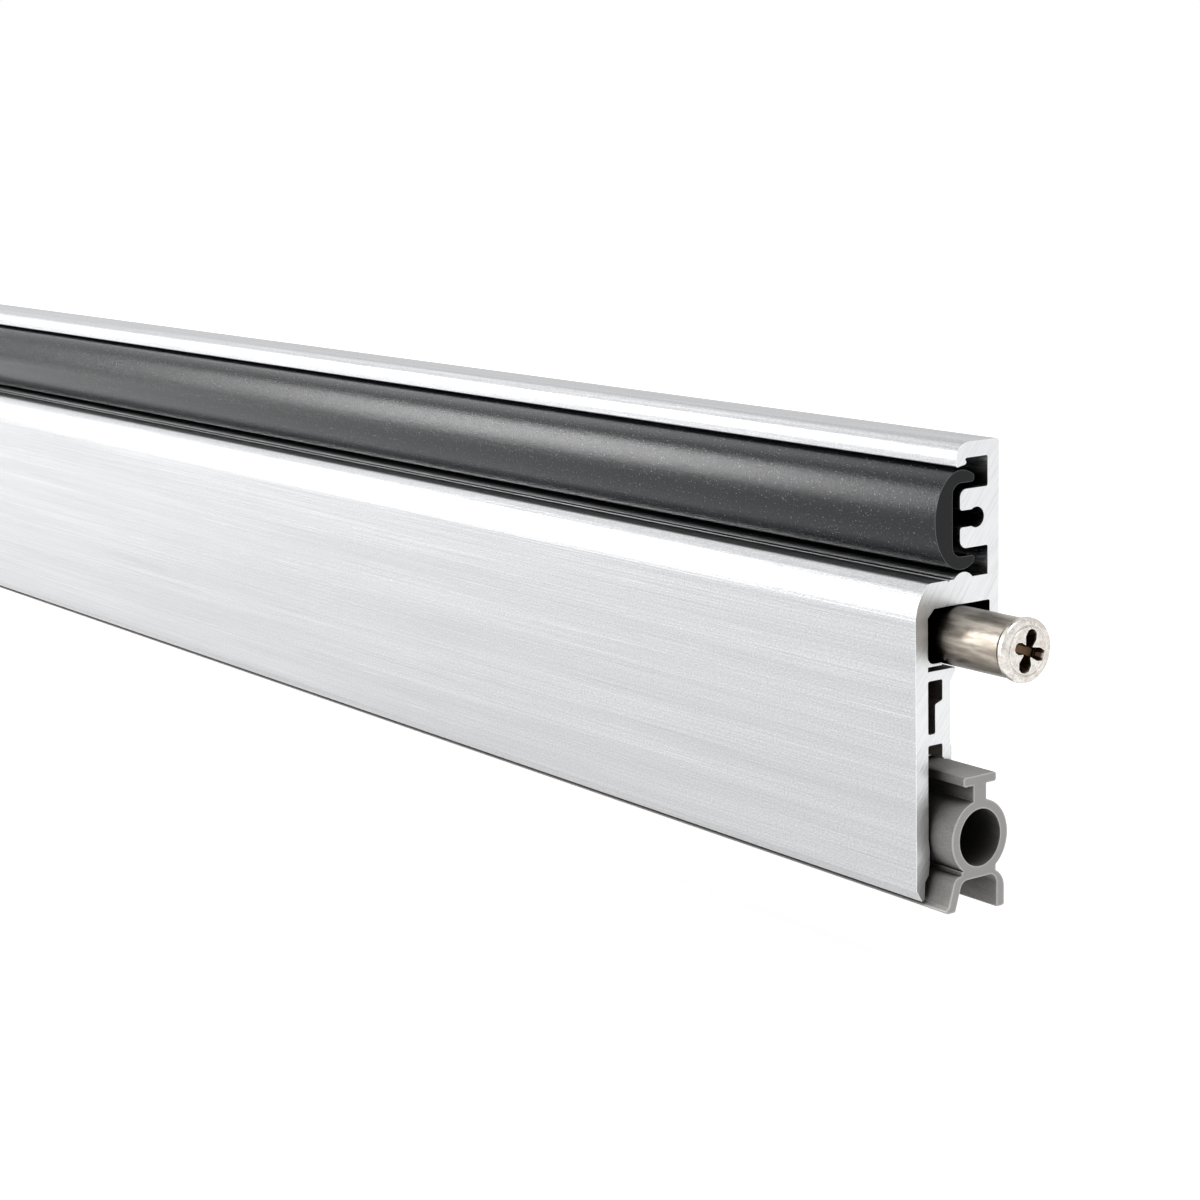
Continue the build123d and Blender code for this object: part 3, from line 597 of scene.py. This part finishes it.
# The turned body: rows of vertices round the plunger's axis, one for each (x, radius). The
# first six are the tip, the thread's root and the plain shank, and the next three the head's
# underside. Then come the rounded rim, the groove that rings the face and the flat inside it.
profile = [
    (tip, 0),
    (tip, SHANK_RADIUS - 2 * THREAD_DEPTH),
    (tip + TIP_BEVEL, SHANK_RADIUS - THREAD_DEPTH),
    (tip + THREADED, SHANK_RADIUS - THREAD_DEPTH),
    (tip + THREADED + 0.4 * MM, SHANK_RADIUS),
    (neck, SHANK_RADIUS),
    (neck, HEAD_RADIUS - UNDERSIDE_ROUND),
    (neck + 0.08 * MM, HEAD_RADIUS - 0.08 * MM),
    (neck + UNDERSIDE_ROUND, HEAD_RADIUS),
    (head_face - RIM_ROUND, HEAD_RADIUS),
    (head_face - 0.25 * MM, HEAD_RADIUS - 0.07 * MM),
    (head_face - 0.12 * MM, HEAD_RADIUS - 0.22 * MM),
    (head_face - 0.08 * MM, HEAD_RADIUS - 0.4 * MM),
    (head_face - 0.06 * MM, RING_RADIUS + 0.14 * MM),
    (head_face - RING_DEPTH, RING_RADIUS + 0.05 * MM),
    (head_face - RING_DEPTH, RING_RADIUS - 0.03 * MM),
    (head_face, RING_RADIUS - 0.14 * MM),
    (head_face, 0),
]
shape = bmesh.new()
rows = []
for x, r in profile:
    turns = [2 * pi * k / SEGMENTS for k in range(SEGMENTS if r else 1)]
    rows.append([shape.verts.new((x, axis.y + r * cos(a), axis.z + r * sin(a))) for a in turns])
for low, high in zip(rows, rows[1:]):
    for k in range(SEGMENTS):
        after = (k + 1) % SEGMENTS
        corners = [low[k % len(low)], low[after % len(low)]]
        corners += [high[after % len(high)], high[k % len(high)]]
        # A corner on the axis comes twice, and is kept once
        shape.faces.new(list(dict.fromkeys(corners)))
bmesh.ops.recalc_face_normals(shape, faces=shape.faces)
mesh = bpy.data.meshes.new("adjusting_screw_body")
shape.to_mesh(mesh)
shape.free()
screw = bpy.data.objects.new("adjusting_screw_body", mesh)
bpy.context.scene.collection.objects.link(screw)

# The recess: four wings that taper inwards, bulged and of uneven reach from worn drivers. Each
# has its angle, its reach and its half width in mm, and its outline starts behind the axis.
RECESS_DEEP = 1.4
RECESS_PROUD = 0.2
RECESS_TAPER = 0.7
WINGS = ((71, 2.6, 0.9), (-20, 3.0, 0.8), (-106, 2.65, 1.0), (161, 2.1, 0.75))
recess = bmesh.new()
for angle, reach, half in WINGS:
    side = [(-0.5, 0.4), (0.7, 0.6), (0.6 * reach, half), (0.88 * reach, 0.8 * half), (reach, 0.3)]
    outline = side + [(a, -b) for a, b in reversed(side)]
    wing = []
    for x, inwards in ((RECESS_PROUD, 1.0), (-RECESS_DEEP, RECESS_TAPER)):
        row = [Vector((x, a * inwards, b * inwards)) * MM for a, b in outline]
        wing.append([recess.verts.new(point + Vector((head_face, 0, 0))) for point in row])
        recess.faces.new(wing[-1])
    for i in range(len(outline)):
        j = (i + 1) % len(outline)
        recess.faces.new([wing[0][i], wing[0][j], wing[1][j], wing[1][i]])
    turn = Matrix.Rotation(radians(angle), 3, "X")
    bmesh.ops.rotate(recess, verts=wing[0] + wing[1], cent=(0, 0, 0), matrix=turn)
bmesh.ops.translate(recess, verts=recess.verts, vec=(0, axis.y, axis.z))
bmesh.ops.recalc_face_normals(recess, faces=recess.faces)
recess_mesh = bpy.data.meshes.new("recess")
recess.to_mesh(recess_mesh)
recess.free()
cutter = bpy.data.objects.new("recess", recess_mesh)
bpy.context.scene.collection.objects.link(cutter)
sink = screw.modifiers.new("sink", "BOOLEAN")
sink.object = cutter
sink.operation = "DIFFERENCE"
sink.solver = "EXACT"
sink.use_self = True
bpy.context.view_layer.update()
cut_screw = screw.evaluated_get(bpy.context.evaluated_depsgraph_get())
screw.data = bpy.data.meshes.new_from_object(cut_screw)
screw.modifiers.remove(sink)
bpy.data.objects.remove(cutter)

# Bright nickel with fine rings from the facing cut, duller patches where it has worn, a painted
# highlight nearly white along its edges, brown in the recess and painted shade deep in it
TURNING_MARKS = 0.09 * MM
RECESS_RIM = 2.72 * MM
RECESS_INSIDE = 2.6 * MM
worn_nickel, tree, coords = new_finish("worn_nickel_plate")
place = coords["Object"]
off_axis = {0: place, 1: (0, axis.y, axis.z)}
off_axis = add(tree, "ShaderNodeVectorMath", off_axis, operation="SUBTRACT")
flat = add(tree, "ShaderNodeVectorMath", {0: off_axis, 1: (0, 1, 1)}, operation="MULTIPLY")
reach = add(tree, "ShaderNodeVectorMath", {0: flat}, operation="LENGTH").node.outputs["Value"]
turning = add(tree, "ShaderNodeMath", {0: reach, 1: 1 / TURNING_MARKS}, operation="MULTIPLY")
turning = add(tree, "ShaderNodeTexNoise", {"Vector": turning, "Scale": 1.0, "Detail": 2.0})
along = add(tree, "ShaderNodeSeparateXYZ", {"Vector": place})
deep = {"Value": along, "From Min": head_face - 0.03 * MM, "From Max": head_face - 0.3 * MM}
inner = {"Value": reach, "From Min": RECESS_RIM, "From Max": RECESS_INSIDE}
in_recess = {
    0: add(tree, "ShaderNodeMapRange", deep),
    1: add(tree, "ShaderNodeMapRange", inner),
}
colour = coated(
    tree,
    "#dedad5",
    (pattern(tree, place, (0.9, 0.9, 0.9), low=0.4, high=0.6, most=0.7, detail=4.0), "#c2bbb3"),
    (pattern(tree, place, (0.3, 0.3, 0.3), low=0.52, high=0.65, most=0.45), "#9a9085"),
    # Painted highlight along the edges, brown in the recess, and painted shade deeper in it
    (painted_edge_highlight(tree, radius=0.2, most=0.9), "#f8f6f4"),
    (add(tree, "ShaderNodeMath", in_recess, operation="MULTIPLY"), "#5e4a38"),
    (painted_hollow_shade(tree, distance=3.0, clear=0.6, closed=0.1, most=0.6, only_local=True), "#3a2c1d"),
)
rough = {"Value": turning, "From Min": 0.3, "From Max": 0.7, "To Min": 0.24, "To Max": 0.38}
worn_surface = {
    "Base Color": colour,
    "Metallic": 1.0,
    "Roughness": add(tree, "ShaderNodeMapRange", rough),
}
shade(tree, worn_surface, turning, height=0.012, round_edge=0.08)
screw.data.materials.clear()
screw.data.materials.append(worn_nickel)

# The thread's ridge, a square wire wound on the root that stays just inside the shank
PITCH = 0.7 * MM
THREAD_TURNS = 30.0
THREAD_START = 0.6 * MM
RIDGE = 0.21 * MM
RIDGE_INSIDE = 0.01 * MM
thread = grown(
    "adjusting_screw_thread",
    [(tip + THREAD_START, axis.y, axis.z)],
    coil,
    {
        "Radius": SHANK_RADIUS - RIDGE_INSIDE - RIDGE,
        "Wire": RIDGE,
        "Length": THREAD_TURNS * PITCH,
        "Turns": THREAD_TURNS,
        "Sides": 4,
        "Closed": 0.0,
        "Material": worn_nickel,
    },
)
for piece in (screw, thread):
    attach(piece, "adjuster")
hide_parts("adjusting_screw")

# Floor
# A plain white sheet of board, at the height that the lowered seal comes down to. It shows as
# white to the camera and in the metal, and keeps the faint shadow that the object throws.
GLOW = 0.5
FLOOR_REACH = 4.0


def seen_ray(tree):
    """1 for what the camera sees, directly, mirrored or through something clear, else 0."""
    ray = add(tree, "ShaderNodeLightPath").node.outputs
    direct = {0: ray["Is Camera Ray"], 1: ray["Is Glossy Ray"]}
    direct = add(tree, "ShaderNodeMath", direct, operation="MAXIMUM")
    through = {0: direct, 1: ray["Is Transmission Ray"]}
    return add(tree, "ShaderNodeMath", through, operation="MAXIMUM")


# Matt white card with the faintest mottle
made, tree, coords = new_finish("white_board")
paper = pattern(tree, coords["Object"], (1.5, 1.5, 1.5), detail=3.0)
colour = coated(tree, "#fbfbfb", (paper, "#ffffff"))
board = {"Base Color": colour, "Roughness": 0.9, "Specular IOR Level": 0.0}
board = add(tree, "ShaderNodeBsdfPrincipled", board)
glow = add(tree, "ShaderNodeMath", {0: seen_ray(tree), 1: GLOW}, operation="MULTIPLY")
glow = add(tree, "ShaderNodeEmission", {"Color": linear("#ffffff"), "Strength": glow})
both = add(tree, "ShaderNodeAddShader", {0: board, 1: glow})
add(tree, "ShaderNodeOutputMaterial", {"Surface": both})
floor_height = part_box("seal_strip")[0][2] - STROKE
floor_mesh = bpy.data.meshes.new("floor")
corners = [(-1, -1), (1, -1), (1, 1), (-1, 1)]
corners = [(x * FLOOR_REACH, y * FLOOR_REACH, floor_height) for x, y in corners]
floor_mesh.from_pydata(corners, [], [(0, 1, 2, 3)])
floor_mesh.materials.append(made)
floor = bpy.data.objects.new("floor", floor_mesh)
bpy.context.scene.collection.objects.link(floor)

# Light
# Even white surroundings and a soft light overhead. A tall panel near on the left makes the
# slanting glare on the cover strip, and a high one the bright line along each rounded edge.
SEEN_WHITE = 1.0
LIT_WHITE = 0.55
world = bpy.data.worlds.new("studio")
bpy.context.scene.world = world
world.use_nodes = True
tree = world.node_tree
tree.nodes.clear()
strength = {"Value": seen_ray(tree), "To Min": LIT_WHITE, "To Max": SEEN_WHITE}
strength = add(tree, "ShaderNodeMapRange", strength)
sky = add(tree, "ShaderNodeBackground", {"Color": linear("#ffffff"), "Strength": strength})
add(tree, "ShaderNodeOutputWorld", {"Surface": sky})

# Name, place in metres, width, height, lean in degrees and power in watts of each soft light
AIM = Vector((0.05, 0, 0))
for name, at, width, height, lean, power in (
    ("overhead", (0.1, -0.2, 0.9), 1.0, 0.5, 0, 3.0),
    ("near_left", (-0.75, -0.55, 0.27), 0.22, 0.46, 22, 5.0),
    ("high_left", (-1.2, 0.0, 0.95), 0.6, 0.5, 0, 1.2),
):
    lamp = bpy.data.lights.new(name, "AREA")
    lamp.shape = "RECTANGLE"
    lamp.size = width
    lamp.size_y = height
    lamp.energy = power
    lamp_object = bpy.data.objects.new(name, lamp)
    bpy.context.scene.collection.objects.link(lamp_object)
    turned = (AIM - Vector(at)).to_track_quat("-Z", "Y").to_matrix().to_4x4()
    leaned = Matrix.Rotation(radians(lean), 4, "Z")
    lamp_object.matrix_world = Matrix.Translation(at) @ turned @ leaned

# Camera
# Where the photograph was taken from: in front of the plunger's end and a little above,
# with a short telephoto, held slightly off level.
LENS = 81.2
SENSOR = 36
STAND = Vector((391.7, -213.0, 51.0)) * MM
YAW = 55.01
DOWN = 11.07
ROLL = -1.57
camera = bpy.data.cameras.new("camera")
camera.lens = LENS
camera.sensor_width = SENSOR
camera.clip_start = 0.01
camera_object = bpy.data.objects.new("camera", camera)
bpy.context.scene.collection.objects.link(camera_object)
yaw = Matrix.Rotation(radians(YAW), 4, "Z")
pitch = Matrix.Rotation(radians(90 - DOWN), 4, "X")
roll = Matrix.Rotation(radians(ROLL), 4, "Z")
camera_object.matrix_world = Matrix.Translation(STAND) @ yaw @ pitch @ roll
bpy.context.scene.camera = camera_object
bpy.context.scene.view_settings.view_transform = "Standard"
